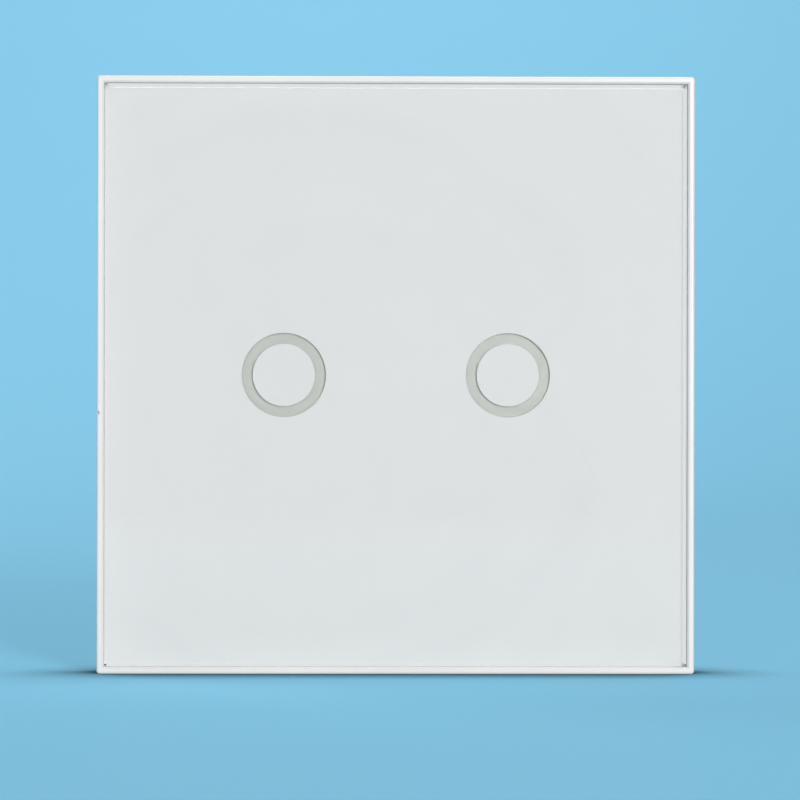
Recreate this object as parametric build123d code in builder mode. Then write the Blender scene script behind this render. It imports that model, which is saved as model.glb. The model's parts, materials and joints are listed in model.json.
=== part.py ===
from build123d import *
import math
import os

os.makedirs("parts", exist_ok=True)

# Axes: X to the right, Z up, and the glass faces -Y. The wall's face is the XZ plane.
# A level is a distance out from the wall, so what lies in the wall box has a negative one.
# Plane.XZ.offset(level) faces the room, so each piece is drawn at its rearmost level.

# Face plate
plate_size = 86.0  # height and width
stand_off = 9.5  # from the wall to the face of the glass
plate_corner = 0.45
plate_wall_gap = 0.5  # behind the frame's rear edge
rim_width = 1.0  # of the frame, seen round the glass
rim_set_back = 0.15  # of the rim behind the face of the glass
rim_round = 0.35  # outside
rim_slope = 0.25  # inside, towards the glass
skirt_wall = 1.2
web_thickness = 1.2  # of the frame's backing wall
pry_width = 10.0
pry_depth = 1.5
frame_rib = 0.8
frame_rib_height = 1.0
frame_rib_inset = 2.4  # inside the base's wall
frame_rib_gap = 4.0  # above and below the module
frame_rib_reach = 20.0  # of the cross ribs from the level middle line
gate_mark_size = 0.5
gate_mark_depth = 0.4
gate_mark_drop = 5.5  # below the centre of the plate

# Glass, film and pad
glass_thickness = 3.0
glass_gap = 0.12  # all round, to the rim
glass_bevel = 0.65
glass_arris = 0.2
film_thickness = 0.2
film_margin = 0.3
pad_thickness = 0.4
pad_width = 7.0

# Touch rings
ring_outer = 12.15  # diameters of the window in the film
ring_inner = 9.0
guide_overlap = 0.25  # of the light guide under the film, on the radius
guide_recess = 0.4  # behind the film
guide_flange = 1.1  # on the radius
guide_flange_thickness = 1.0
guide_foot = 1.4
guide_foot_length = 0.9
guide_foot_count = 3
guide_foot_start = 30  # degrees
guide_fit = 0.1  # in the cover's hole, on the radius
guide_mouth_gap = 0.525  # beside the base's mouth, which sets how far apart the rings are
window_gap = 0.6  # round the guide, in the frame's web

# Base plate
base_gap = 0.35  # to the frame's skirt, all round
base_floor = 1.8
base_wall = 1.2
base_wall_gap = 0.5  # between its wall and the frame's web
base_corner = 1.5
base_edge = 0.4
housing_seat = 0.6  # how deep the rear housing sits in the base
housing_seat_gap = 0.15
core_depth = 0.6  # of the pockets in the rear face
core_margin = 1.6  # beside them
core_corner = 13.5  # left solid
core_split = 1.5  # between the two of a pair
core_slot_gap = 2.5  # to the slots' pads
rib_thickness = 1.0
rib_height = 1.6
rib_reach_x = 14.0  # ribs' places from the middle lines
rib_reach_z = 10.0
wall_screw_spacing = 60.3
wall_slot_length = 8.0
wall_slot_width = 4.0
slot_pad_width = 10.0
slot_pad_height = 12.0
slot_pad_thickness = 0.6

# Clips between the face plate and the base
clip_width = 5.0
clip_gauge = 0.4
clip_place = 26.0  # from the upright middle line
clip_wall_gap = 0.45  # from the clip's strip to the base's wall
clip_foot = 3.2
clip_bend = 0.4
clip_bite = 0.55  # how far the bend enters the window
clip_rise = 0.75
clip_end_rise = 0.55
clip_window_gap = 0.5  # each side of the clip
clip_bar = 0.7  # of the base's wall, over the window
clip_peg = 1.4
clip_peg_length = 0.3
clip_peg_fit = 0.05

# Rear housing
housing_width = 50.0
housing_height = 56.0
housing_depth = 26.5
housing_wall = 1.5
housing_corner = 3.0
housing_round = 1.2
mouth_lip = 0.5
post_inset = 2.5
post_radius = 2.7
post_land = 3.0  # of the base round each screw
vent_count = 5
vent_pitch = 3.6
vent_length = 22.0
vent_width = 1.6
vent_drop = 8.4  # of the first one's middle, below the housing's top
side_rib_width = 1.2
side_rib_height = 0.5
side_rib_start = 3.0  # behind the wall's face
side_rib_end = 23.0
side_rib_slope = 3.0
side_rib_place = 14.0  # above and below the middle

# Boards
board_gap = 0.3  # inside the base's mouth
touch_board_level = -1.7
touch_board_thickness = 1.2
power_board_level = -9.6
power_board_thickness = 1.6
chip_width = 5.0
chip_height = 4.0
chip_thickness = 1.5
chip_chamfer = 0.25
led_count = 3
led_start = 90  # degrees
led_length = 1.6
led_width = 0.8
led_height = 0.6
radio_width = 16.0
radio_height = 22.0
radio_thickness = 0.8
shield_width = 12.5
shield_height = 14.0
shield_thickness = 2.4
shield_wall = 0.2
shield_margin = 1.0
header_columns = 4
header_rows = 2
header_pitch = 2.54
header_thickness = 2.5
pin_size = 0.64
pin_reach = 3.0
pin_hole = 0.9

# Small screws
board_screw_place = 19.0  # above and below the centre, in the touch board
board_screw_inset = 2.9  # inside the housing's side walls, in the power board
board_screw_rise = 5.0
board_screw_shank = 1.0  # radii
board_screw_head = 1.9
board_screw_head_height = 1.3
board_screw_length = 5.0
board_screw_fit = 0.15
board_post_radius = 2.2
housing_screw_shank = 1.1
housing_screw_head = 2.0
housing_screw_head_height = 1.5
housing_screw_reach = 8.0  # into the posts
housing_screw_fit = 0.15
pilot_fit = 0.02
recess_length = 2.2
recess_width = 0.5
recess_depth = 0.7

# Module cover
cover_thickness = 1.2
cover_web_gap = 0.4
cover_wall = 1.2
cover_corner = 2.5
cover_edge = 0.4

# Touch springs
wire_diameter = 0.5
coil_diameter = 7.0  # outside
coil_half_turns = 7
coil_bend = 1.0  # radius between the foot and the coil
coil_top_gap = 0.1

# Terminals
terminal_count = 4
terminal_block_height = 13.3
terminal_block_gap = 0.3  # to the housing's posts
terminal_board_gap = 0.4
terminal_wall = 1.2
terminal_end_wall = 1.1
wire_opening = 4.4
wire_pocket = 2.3  # beyond the cage
wire_entry_gap = 0.3  # round the opening, in the housing's wall
cage_start = 0.9  # behind the block's front face, open
cage_front_bar = 0.9
cage_rear_bar = 1.8
cage_side = 0.8
cage_length = 5.0
cage_travel = 2.5
cage_gap = 0.3
cage_end_gap = 0.1  # to the contact bar, open
cage_inner_gap = 0.1  # beside the wire opening
contact_bar_thickness = 0.8
contact_bar_gap = 0.2
contact_leg_width = 2.0
contact_fit = 0.05
clamp_shank = 1.5  # radii
clamp_thread_fit = 0.03
clamp_head = 2.1
clamp_head_height = 1.55
clamp_head_gap = 0.05
clamp_hole_gap = 0.2
clamp_end_space = 0.4
clamp_slot_width = 0.6
clamp_slot_depth = 0.8
driver_hole = 1.8
driver_ring = 0.6  # round the hole
driver_ring_depth = 0.4
gauge_length = 9.0  # of bare wire that a terminal takes
gauge_width = 1.6
gauge_depth = 0.4
gauge_rise = 11.0  # above the driver holes

# Relays
relay_spacing = 1.0  # between the two
relay_block_gap = 0.5  # above the terminal block
relay_width = 18.4
relay_height = 10.2
relay_depth = 15.0
relay_wall = 0.6
relay_fit = 0.1
relay_base_thickness = 1.6
yoke_thickness = 1.0
yoke_height = 7.0
yoke_side_gap = 0.3
yoke_foot = 9.4
coil_flange = 8.0
coil_flange_thickness = 0.7
coil_length = 7.0
coil_winding = 3.6
coil_side_gap = 1.0  # to the yoke
core_radius = 1.75
core_head_radius = 2.75
core_head_thickness = 0.5
armature_gap = 0.05
armature_tilt = 4.0  # degrees, released
armature_length = 9.6
armature_thickness = 0.8
armature_height = 6.0
leaf_start = 4.0
leaf_tail = 1.1  # beyond the button's middle
leaf_thickness = 0.3
leaf_height = 3.0
button_radius = 1.0
button_thickness = 0.6
blade_thickness = 0.4
blade_reach = 1.6
blade_side_gap = 0.4  # to the case

# Supply parts on the power board. A place is a share of the board's half width, and a drop below its top.
transformer_share = -0.4
transformer_drop = 16.7
transformer_width = 13.0
transformer_depth = 11.0
transformer_height = 5.0
transformer_limb = 1.6
winding_gap = 0.1
winding_height = 9.0
capacitor_shares = (0.18, 0.6)
capacitor_drop = 17.2
capacitor_radius = 4.0
capacitor_length = 11.5
capacitor_groove = 0.4
capacitor_groove_place = 1.9  # from the board
film_capacitor_share = 0.42
film_capacitor_drop = 4.7
film_capacitor_size = (13.0, 6.0, 11.0)
rectifier_share = 0.88
rectifier_drop = 10.7
rectifier_size = (4.5, 8.0, 5.0)
box_chamfer = 0.4
fuse_share = -0.62
fuse_drop = 6.7
fuse_radius = 1.8
fuse_length = 9.0
fuse_cap_length = 2.2
fuse_cap_step = 0.1
varistor_share = -0.155
varistor_drop = 4.7
varistor_radius = 4.5
varistor_thickness = 3.5
varistor_edge = 0.8
choke_share = -0.855
choke_drop = 11.7
choke_radius = 2.8
choke_waist = 2.1
choke_length = 8.0
choke_flange = 1.2

# Levels worked out from these sizes
rim_front = stand_off - rim_set_back
glass_back = stand_off - glass_thickness
film_back = glass_back - film_thickness
web_front = film_back - pad_thickness
web_back = web_front - web_thickness
base_top = web_back - base_wall_gap
cover_front = web_back - cover_web_gap
cover_back = cover_front - cover_thickness
guide_front = film_back - guide_recess
touch_board_front = touch_board_level + touch_board_thickness
guide_back = touch_board_front + guide_foot_length
power_board_front = power_board_level + power_board_thickness
housing_floor = housing_wall - housing_depth

# Sizes across the face
rim_inner = plate_size - 2 * rim_width
glass_size = rim_inner - 2 * glass_gap
skirt_inner = plate_size - 2 * skirt_wall
base_size = skirt_inner - 2 * base_gap
base_inner = base_size - 2 * base_wall
housing_half_x = housing_width / 2 - housing_wall
housing_half_z = housing_height / 2 - housing_wall
post_x = housing_half_x - post_inset
post_z = housing_half_z - post_inset
board_screw_side = housing_half_x - board_screw_inset
mouth_width = 2 * (housing_half_x - mouth_lip)
mouth_height = 2 * (housing_half_z - mouth_lip)
mouth_notch_x = mouth_width / 2 - (post_x - post_land)
mouth_notch_z = mouth_height / 2 - (post_z - post_land)
board_width = mouth_width - 2 * board_gap
board_height = mouth_height - 2 * board_gap
guide_outer = ring_outer / 2 + guide_overlap
guide_inner = ring_inner / 2 - guide_overlap
guide_middle = (guide_outer + guide_inner) / 2
ring_spacing = mouth_width - 2 * (guide_outer + guide_mouth_gap)
sides = {"left": -1, "right": 1}


def board_place(share, drop):
    """A place on the power board, from its middle."""
    return share * board_width / 2, board_height / 2 - drop


# Face plate: the frame, moulded in white ABS
clip_line = base_inner / 2 - clip_wall_gap - clip_gauge / 2
peg_line = clip_line - clip_foot / 2
with BuildPart() as panel_frame:
    with BuildSketch(Plane.XZ.offset(plate_wall_gap)):
        RectangleRounded(plate_size, plate_size, plate_corner)
    extrude(amount=rim_front - plate_wall_gap)
    rim_edges = panel_frame.faces().sort_by(Axis.Y)[0].edges()
    fillet(rim_edges, radius=rim_round)
    with BuildSketch(Plane.XZ.offset(web_front)):
        Rectangle(rim_inner, rim_inner)
    extrude(amount=stand_off - web_front, mode=Mode.SUBTRACT)
    chamfer(panel_frame.faces().sort_by(Axis.Y)[0].inner_wires()[0].edges(), length=rim_slope)
    with BuildSketch(Plane.XZ.offset(plate_wall_gap)):
        RectangleRounded(skirt_inner, skirt_inner, plate_corner)
    extrude(amount=web_back - plate_wall_gap, mode=Mode.SUBTRACT)
    with BuildSketch(Plane.XZ.offset(web_back)):
        with GridLocations(ring_spacing, 1, 2, 1):
            Circle(guide_outer + window_gap)
    extrude(amount=web_thickness, mode=Mode.SUBTRACT)
    # Slot under the bottom edge for prising the plate off
    with BuildSketch(Plane.XZ.offset(plate_wall_gap)):
        with Locations((0, (skirt_wall - plate_size) / 2)):
            Rectangle(pry_width, 2 * skirt_wall)
    extrude(amount=pry_depth, mode=Mode.SUBTRACT)
    # Small gate mark in the left edge of the rim
    with BuildSketch(Plane.XZ.offset(rim_front - rim_width)):
        with Locations((-plate_size / 2, -gate_mark_drop)):
            Rectangle(2 * gate_mark_depth, gate_mark_size)
    extrude(amount=rim_width, mode=Mode.SUBTRACT)
    # Stiffening ribs behind the web, clear of the module and of the base's wall
    with BuildSketch(Plane.XZ.offset(web_back - frame_rib_height)):
        rib_frame_x = base_inner / 2 - frame_rib_inset
        rib_frame_z = housing_height / 2 + frame_rib_gap
        Rectangle(2 * rib_frame_x, 2 * rib_frame_z)
        Rectangle(2 * (rib_frame_x - frame_rib), 2 * (rib_frame_z - frame_rib), mode=Mode.SUBTRACT)
        cross_rib = rib_frame_x - housing_width / 2 - board_gap
        with GridLocations(2 * rib_frame_x - cross_rib, 2 * frame_rib_reach, 2, 2):
            Rectangle(cross_rib, frame_rib)
    extrude(amount=frame_rib_height)
    # Pegs on the web that hold the clips
    with BuildSketch(Plane.XZ.offset(web_back - clip_gauge - clip_peg_length)):
        with GridLocations(2 * clip_place, 2 * peg_line, 2, 2):
            Circle(clip_peg / 2)
    extrude(amount=clip_gauge + clip_peg_length)

panel_frame.part.label = "panel_frame"
export_step(panel_frame.part, "parts/panel_frame.step")

# Face plate: the glass, with a polished bevel round its face
with BuildPart() as glass_panel:
    with BuildSketch(Plane.XZ.offset(glass_back)):
        Rectangle(glass_size, glass_size)
    extrude(amount=glass_thickness)
    chamfer(glass_panel.faces().sort_by(Axis.Y)[0].edges(), length=glass_bevel)
    chamfer(glass_panel.faces().sort_by(Axis.Y)[-1].edges(), length=glass_arris)

glass_panel.part.label = "glass_panel"
export_step(glass_panel.part, "parts/glass_panel.step")

# Face plate: white film behind the glass, with a ring-shaped window and a disc for each key
with BuildPart() as mask_film:
    with BuildSketch(Plane.XZ.offset(film_back)):
        Rectangle(glass_size - 2 * film_margin, glass_size - 2 * film_margin)
        with GridLocations(ring_spacing, 1, 2, 1):
            Circle(ring_outer / 2, mode=Mode.SUBTRACT)
            Circle(ring_inner / 2)
    extrude(amount=film_thickness)

mask_film.part.label = "mask_film"
export_step(mask_film.part, "parts/mask_film.step")

# Face plate: adhesive pad between the film and the frame's web
with BuildPart() as adhesive_pad:
    with BuildSketch(Plane.XZ.offset(web_front)):
        Rectangle(glass_size - 2 * film_margin, glass_size - 2 * film_margin)
        pad_inner = glass_size - 2 * film_margin - 2 * pad_width
        Rectangle(pad_inner, pad_inner, mode=Mode.SUBTRACT)
    extrude(amount=pad_thickness)

adhesive_pad.part.label = "adhesive_pad"
export_step(adhesive_pad.part, "parts/adhesive_pad.step")

# Face plate: four spring-steel clips, each a bent strip on a peg of the frame
foot_level = web_back - clip_gauge / 2
window_top = base_top - clip_bar
bend_level = (window_top + base_floor) / 2
bite_line = base_inner / 2 + clip_bite
with BuildPart() as panel_clips:
    with BuildSketch(Plane.YZ.offset(clip_place)) as clip_profile:
        with BuildLine() as clip_path:
            FilletPolyline(
                (-foot_level, clip_line - clip_foot),
                (-foot_level, clip_line),
                (-bend_level - clip_rise, clip_line),
                (-bend_level, bite_line),
                (-bend_level + clip_end_rise, clip_line),
                radius=clip_bend,
            )
        trace(line_width=clip_gauge)
    extrude(amount=clip_width / 2, both=True)
    with BuildSketch(Plane.XZ.offset(web_back - clip_gauge)):
        with Locations((clip_place, peg_line)):
            Circle(clip_peg / 2 + clip_peg_fit)
    extrude(amount=clip_gauge, mode=Mode.SUBTRACT)
    mirror(about=Plane.XY)
    mirror(about=Plane.YZ)

panel_clips.part.label = "panel_clips"
export_step(panel_clips.part, "parts/panel_clips.step")

# Base plate, which the two wall screws hold to the wall box
with BuildPart() as base_plate:
    with BuildSketch(Plane.XZ):
        RectangleRounded(base_size, base_size, base_corner)
    extrude(amount=base_top)
    chamfer(base_plate.faces().sort_by(Axis.Y)[0].edges(), length=base_edge)
    with BuildSketch(Plane.XZ.offset(base_floor)):
        RectangleRounded(base_inner, base_inner, base_corner)
    extrude(amount=base_top - base_floor, mode=Mode.SUBTRACT)
    # Seat in the rear face that the housing's mouth stands in
    with BuildSketch(Plane.XZ):
        seat_width = housing_width + 2 * housing_seat_gap
        seat_height = housing_height + 2 * housing_seat_gap
        RectangleRounded(seat_width, seat_height, housing_corner + housing_seat_gap)
    extrude(amount=housing_seat, mode=Mode.SUBTRACT)
    # Pockets in the rear face that keep the moulding's walls even
    core_end = base_size / 2 - core_corner
    core_edge = base_size / 2 - core_margin
    with BuildSketch(Plane.XZ):
        band_start = housing_height / 2 + core_margin
        with GridLocations(core_end + core_split / 2, core_edge + band_start, 2, 2):
            Rectangle(core_end - core_split / 2, core_edge - band_start)
        column_start = housing_width / 2 + core_margin
        column_low = slot_pad_height / 2 + core_slot_gap
        with GridLocations(core_edge + column_start, core_end + column_low, 2, 2):
            Rectangle(core_edge - column_start, core_end - column_low)
    extrude(amount=core_depth, mode=Mode.SUBTRACT)
    # Ribs from the module to the wall of the plate
    with BuildSketch(Plane.XZ.offset(base_floor)):
        side_rib = (base_inner - housing_width) / 2 - board_gap
        with GridLocations(base_inner - side_rib, 2 * rib_reach_x, 2, 2):
            Rectangle(side_rib, rib_thickness)
        end_rib = (base_inner - housing_height) / 2 - board_gap
        with GridLocations(2 * rib_reach_z, base_inner - end_rib, 2, 2):
            Rectangle(rib_thickness, end_rib)
    extrude(amount=rib_height)
    with BuildSketch(Plane.XZ.offset(base_floor)):
        with GridLocations(wall_screw_spacing + slot_pad_width - wall_slot_length, 1, 2, 1):
            Rectangle(slot_pad_width, slot_pad_height)
    extrude(amount=slot_pad_thickness)
    with BuildSketch(Plane.XZ):
        with GridLocations(wall_screw_spacing, 1, 2, 1):
            SlotOverall(wall_slot_length, wall_slot_width)
        Rectangle(mouth_width, mouth_height)
        with GridLocations(mouth_width, mouth_height, 2, 2):
            Rectangle(2 * mouth_notch_x, 2 * mouth_notch_z, mode=Mode.SUBTRACT)
        with GridLocations(2 * post_x, 2 * post_z, 2, 2):
            Circle(housing_screw_shank + housing_screw_fit)
    extrude(amount=base_floor + slot_pad_thickness, mode=Mode.SUBTRACT)
    # Windows in the top and bottom walls that the clips catch in
    with BuildSketch(Plane.XZ.offset(base_floor)):
        with GridLocations(2 * clip_place, base_size - base_wall, 2, 2):
            Rectangle(clip_width + 2 * clip_window_gap, base_wall)
    extrude(amount=window_top - base_floor, mode=Mode.SUBTRACT)

base_plate.part.label = "base_plate"
export_step(base_plate.part, "parts/base_plate.step")

# Rear housing: a box moulding with screw posts, vents and the holes for wires and screwdriver
cage_inner = wire_opening + 2 * cage_inner_gap
cage_outer = cage_inner + 2 * cage_side
cell_width = cage_outer + 2 * cage_gap
block_width = 2 * (post_x - post_radius - terminal_block_gap)
terminal_pitch = (block_width - cell_width - 2 * terminal_end_wall) / (terminal_count - 1)
terminal_xs = [(place - (terminal_count - 1) / 2) * terminal_pitch for place in range(terminal_count)]
block_front = power_board_level - terminal_board_gap
cage_front = block_front - cage_start
contact_front = cage_front - cage_front_bar - wire_opening
contact_back = contact_front - contact_bar_thickness
cage_back = contact_back - cage_end_gap - cage_rear_bar
cavity_back = cage_back - cage_travel - cage_gap
clamp_head_back = housing_floor + clamp_end_space
clamp_head_front = clamp_head_back + clamp_head_height
clamp_seat = clamp_head_front + clamp_head_gap
opening_depth = (contact_front + cage_front - cage_front_bar) / -2
with BuildPart() as rear_housing:
    with BuildSketch(Plane.XZ.offset(-housing_depth)):
        RectangleRounded(housing_width, housing_height, housing_corner)
    extrude(amount=housing_depth + housing_seat)
    fillet(rear_housing.faces().sort_by(Axis.Y)[-1].edges(), radius=housing_round)
    offset(amount=-housing_wall, openings=rear_housing.faces().sort_by(Axis.Y)[0])
    with BuildSketch(Plane.XZ.offset(housing_floor)):
        with GridLocations(2 * post_x, 2 * post_z, 2, 2):
            Circle(post_radius)
    extrude(amount=housing_seat - housing_floor)
    with BuildSketch(Plane.XZ.offset(-housing_screw_reach)):
        with GridLocations(2 * post_x, 2 * post_z, 2, 2):
            Circle(housing_screw_shank + pilot_fit)
    extrude(amount=housing_screw_reach + housing_seat, mode=Mode.SUBTRACT)
    # Ribs on the side walls that centre the module in its box, sloped at the rear end
    for sign in sides.values():
        for place in (side_rib_place, -side_rib_place):
            with BuildSketch(Plane.XY.offset(place - side_rib_width / 2)):
                with BuildLine():
                    Polyline(
                        (sign * (housing_width - housing_wall) / 2, side_rib_start),
                        (sign * (housing_width / 2 + side_rib_height), side_rib_start),
                        (sign * (housing_width / 2 + side_rib_height), side_rib_end - side_rib_slope),
                        (sign * housing_width / 2, side_rib_end),
                        (sign * (housing_width - housing_wall) / 2, side_rib_end),
                        close=True,
                    )
                make_face()
            extrude(amount=side_rib_width)
    # Bosses for the power board's two screws
    with BuildSketch(Plane.XZ.offset(housing_floor)):
        with Locations((-board_screw_side, board_screw_rise), (board_screw_side, board_screw_rise)):
            Circle(board_post_radius)
    extrude(amount=power_board_level - housing_floor)
    with BuildSketch(Plane.XZ.offset(power_board_front - board_screw_length)):
        with Locations((-board_screw_side, board_screw_rise), (board_screw_side, board_screw_rise)):
            Circle(board_screw_shank + pilot_fit)
    extrude(amount=board_screw_length - power_board_thickness, mode=Mode.SUBTRACT)
    # Vents through the rear wall, and a hole behind each clamp screw
    with BuildSketch(Plane.XZ.offset(-housing_depth)):
        vent_middle = housing_height / 2 - vent_drop - vent_pitch * (vent_count - 1) / 2
        with Locations((0, vent_middle)):
            with GridLocations(1, vent_pitch, 1, vent_count):
                SlotOverall(vent_length, vent_width)
        screw_line = -housing_half_z + terminal_wall + cage_gap + cage_length / 2
        with Locations(*[(x, screw_line) for x in terminal_xs]):
            Circle(driver_hole)
    extrude(amount=housing_wall, mode=Mode.SUBTRACT)
    # Ring round each driver hole, and a gauge for the length of bare wire
    with BuildSketch(Plane.XZ.offset(-housing_depth)):
        with Locations(*[(x, screw_line) for x in terminal_xs]):
            Circle(driver_hole + driver_ring)
    extrude(amount=driver_ring_depth, mode=Mode.SUBTRACT)
    with BuildSketch(Plane.XZ.offset(-housing_depth)):
        with Locations((0, screw_line + gauge_rise)):
            Rectangle(gauge_length, gauge_width)
    extrude(amount=gauge_depth, mode=Mode.SUBTRACT)
    # Wire holes through the bottom wall
    with BuildSketch(Plane.XY.offset(-housing_height / 2)):
        with Locations(*[(x, opening_depth) for x in terminal_xs]):
            Rectangle(wire_opening + 2 * wire_entry_gap, wire_opening + 2 * wire_entry_gap)
    extrude(amount=housing_wall, mode=Mode.SUBTRACT)

rear_housing.part.label = "rear_housing"
export_step(rear_housing.part, "parts/rear_housing.step")

# Module cover: closes the module at the front, round the two light guides
with BuildPart() as module_cover:
    with BuildSketch(Plane.XZ.offset(base_floor)):
        RectangleRounded(housing_width, housing_height, cover_corner)
    extrude(amount=cover_front - base_floor)
    chamfer(module_cover.faces().sort_by(Axis.Y)[0].edges(), length=cover_edge)
    with BuildSketch(Plane.XZ.offset(base_floor)):
        RectangleRounded(housing_width - 2 * cover_wall, housing_height - 2 * cover_wall, cover_wall)
        with GridLocations(2 * post_x, 2 * post_z, 2, 2):
            Circle(post_radius, mode=Mode.SUBTRACT)
    extrude(amount=cover_back - base_floor, mode=Mode.SUBTRACT)
    with BuildSketch(Plane.XZ.offset(touch_board_front)):
        with GridLocations(1, 2 * board_screw_place, 1, 2):
            Circle(board_post_radius)
    extrude(amount=cover_back - touch_board_front)
    with BuildSketch(Plane.XZ.offset(touch_board_front)):
        with GridLocations(1, 2 * board_screw_place, 1, 2):
            Circle(board_screw_shank + pilot_fit)
    extrude(amount=board_screw_length - touch_board_thickness, mode=Mode.SUBTRACT)
    with BuildSketch(Plane.XZ.offset(base_floor)):
        with GridLocations(ring_spacing, 1, 2, 1):
            Circle(guide_outer + guide_fit)
        with GridLocations(2 * post_x, 2 * post_z, 2, 2):
            Circle(housing_screw_shank + housing_screw_fit)
    extrude(amount=cover_front - base_floor, mode=Mode.SUBTRACT)
    head_seat = cover_front - housing_screw_head_height
    with BuildSketch(Plane.XZ.offset(head_seat)):
        with GridLocations(2 * post_x, 2 * post_z, 2, 2):
            Circle(housing_screw_head + housing_screw_fit)
    extrude(amount=housing_screw_head_height, mode=Mode.SUBTRACT)

module_cover.part.label = "module_cover"
export_step(module_cover.part, "parts/module_cover.step")

# Four screws that hold the cover and the base plate to the housing's posts
with BuildPart() as housing_screws:
    with BuildSketch(Plane.XZ.offset(-housing_screw_reach)):
        with GridLocations(2 * post_x, 2 * post_z, 2, 2):
            Circle(housing_screw_shank)
    extrude(amount=head_seat + housing_screw_reach)
    with BuildSketch(Plane.XZ.offset(head_seat)):
        with GridLocations(2 * post_x, 2 * post_z, 2, 2):
            Circle(housing_screw_head)
    extrude(amount=housing_screw_head_height)
    with BuildSketch(Plane.XZ.offset(cover_front - recess_depth)):
        with GridLocations(2 * post_x, 2 * post_z, 2, 2):
            Rectangle(recess_length, recess_width)
            Rectangle(recess_width, recess_length)
    extrude(amount=recess_depth, mode=Mode.SUBTRACT)

housing_screws.part.label = "housing_screws"
export_step(housing_screws.part, "parts/housing_screws.step")

# Light guides: translucent tubes whose front ends show in the film's windows
flange_front = cover_back
flange_back = flange_front - guide_flange_thickness
for side, sign in sides.items():
    ring_x = sign * ring_spacing / 2
    with BuildPart() as light_guide:
        with BuildSketch(Plane.XZ.offset(guide_back)):
            with Locations((ring_x, 0)):
                Circle(guide_outer)
        extrude(amount=guide_front - guide_back)
        with BuildSketch(Plane.XZ.offset(flange_back)):
            with Locations((ring_x, 0)):
                Circle(guide_outer + guide_flange)
        extrude(amount=guide_flange_thickness)
        with BuildSketch(Plane.XZ.offset(guide_back)):
            with Locations((ring_x, 0)):
                Circle(guide_inner)
        extrude(amount=guide_front - guide_back, mode=Mode.SUBTRACT)
        with BuildSketch(Plane.XZ.offset(touch_board_front)):
            with Locations((ring_x, 0)):
                with PolarLocations(guide_middle, guide_foot_count, start_angle=guide_foot_start):
                    Circle(guide_foot / 2)
        extrude(amount=guide_foot_length)
    light_guide.part.label = f"light_guide_{side}"
    export_step(light_guide.part, f"parts/light_guide_{side}.step")

# Touch springs: each is one wire that rises from the board, turns into a coil and ends under the film
coil_radius = (coil_diameter - wire_diameter) / 2
coil_start = touch_board_front + wire_diameter + coil_bend
coil_end = film_back - coil_top_gap - wire_diameter / 2
coil_turns = coil_half_turns / 2
coil_pitch = (coil_end - coil_start) / coil_turns


def coil_point(middle, turns):
    """Centre of the wire after this many turns round the spring's middle."""
    angle = 2 * math.pi * turns
    across = coil_radius * math.cos(angle)
    up = coil_radius * math.sin(angle)
    return Vector(middle + across, -coil_start - coil_pitch * turns, up)


def coil_direction(turns):
    """The way the wire runs after this many turns."""
    angle = 2 * math.pi * turns
    across = -2 * math.pi * coil_radius * math.sin(angle)
    up = 2 * math.pi * coil_radius * math.cos(angle)
    return Vector(across, -coil_pitch, up).normalized()


def biarc_middle(start, start_way, end, end_way):
    """Point where an arc from the start and an arc to the end meet smoothly."""
    chord = end - start
    both = start_way + end_way
    spread = 2 * (1 - start_way.dot(end_way))
    along = chord.dot(both)
    reach = (math.sqrt(along**2 + spread * chord.dot(chord)) - along) / spread
    return (start + start_way * reach + end - end_way * reach) / 2


out_of_board = Vector(0, -1, 0)
for side, sign in sides.items():
    ring_x = sign * ring_spacing / 2
    first = coil_point(ring_x, 0)
    first_way = coil_direction(0)
    half_bend = out_of_board.get_angle(first_way) / 2
    bend_start = first - (out_of_board + first_way) * coil_bend * math.tan(math.radians(half_bend))
    foot = Vector(bend_start.X, -touch_board_front, bend_start.Z)
    with BuildPart() as touch_spring:
        with BuildLine() as wire_path:
            Line(foot, bend_start)
            TangentArc(bend_start, first, tangent=out_of_board)
            for half_turn in range(coil_half_turns):
                start = coil_point(ring_x, half_turn / 2)
                start_way = coil_direction(half_turn / 2)
                end = coil_point(ring_x, (half_turn + 1) / 2)
                end_way = coil_direction((half_turn + 1) / 2)
                middle = biarc_middle(start, start_way, end, end_way)
                arc = TangentArc(start, middle, tangent=start_way)
                TangentArc(middle, end, tangent=arc % 1)
            Line(end, end + end_way * wire_diameter)
        with BuildSketch(Plane(origin=foot, x_dir=(1, 0, 0), z_dir=out_of_board)):
            Circle(wire_diameter / 2)
        sweep()
    touch_spring.part.label = f"touch_spring_{side}"
    export_step(touch_spring.part, f"parts/touch_spring_{side}.step")

samples_per_turn = 48
coil_samples = [coil_point(0, step / samples_per_turn) for step in range(int(coil_turns * samples_per_turn) + 1)]
least_gap = min(
    (one - other).length - wire_diameter
    for place, one in enumerate(coil_samples)
    for other in coil_samples[place + samples_per_turn // 2:]
)
print(f"least gap between the turns of a touch spring: {least_gap:.3f} mm")

# Touch board and what is soldered to it
with BuildPart() as touch_board:
    with BuildSketch(Plane.XZ.offset(touch_board_level)):
        Rectangle(board_width, board_height)
        with GridLocations(board_width, board_height, 2, 2):
            Rectangle(2 * mouth_notch_x, 2 * mouth_notch_z, mode=Mode.SUBTRACT)
        with GridLocations(1, 2 * board_screw_place, 1, 2):
            Circle(board_screw_shank + board_screw_fit, mode=Mode.SUBTRACT)
    extrude(amount=touch_board_thickness)

touch_board.part.label = "touch_board"
export_step(touch_board.part, "parts/touch_board.step")

with BuildPart() as touch_chip:
    with BuildSketch(Plane.XZ.offset(touch_board_level - chip_thickness)):
        with Locations((chip_width, 0)):
            Rectangle(chip_width, chip_height)
    extrude(amount=chip_thickness)
    chamfer(touch_chip.faces().sort_by(Axis.Y)[-1].edges(), length=chip_chamfer)

touch_chip.part.label = "touch_chip"
export_step(touch_chip.part, "parts/touch_chip.step")

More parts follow.
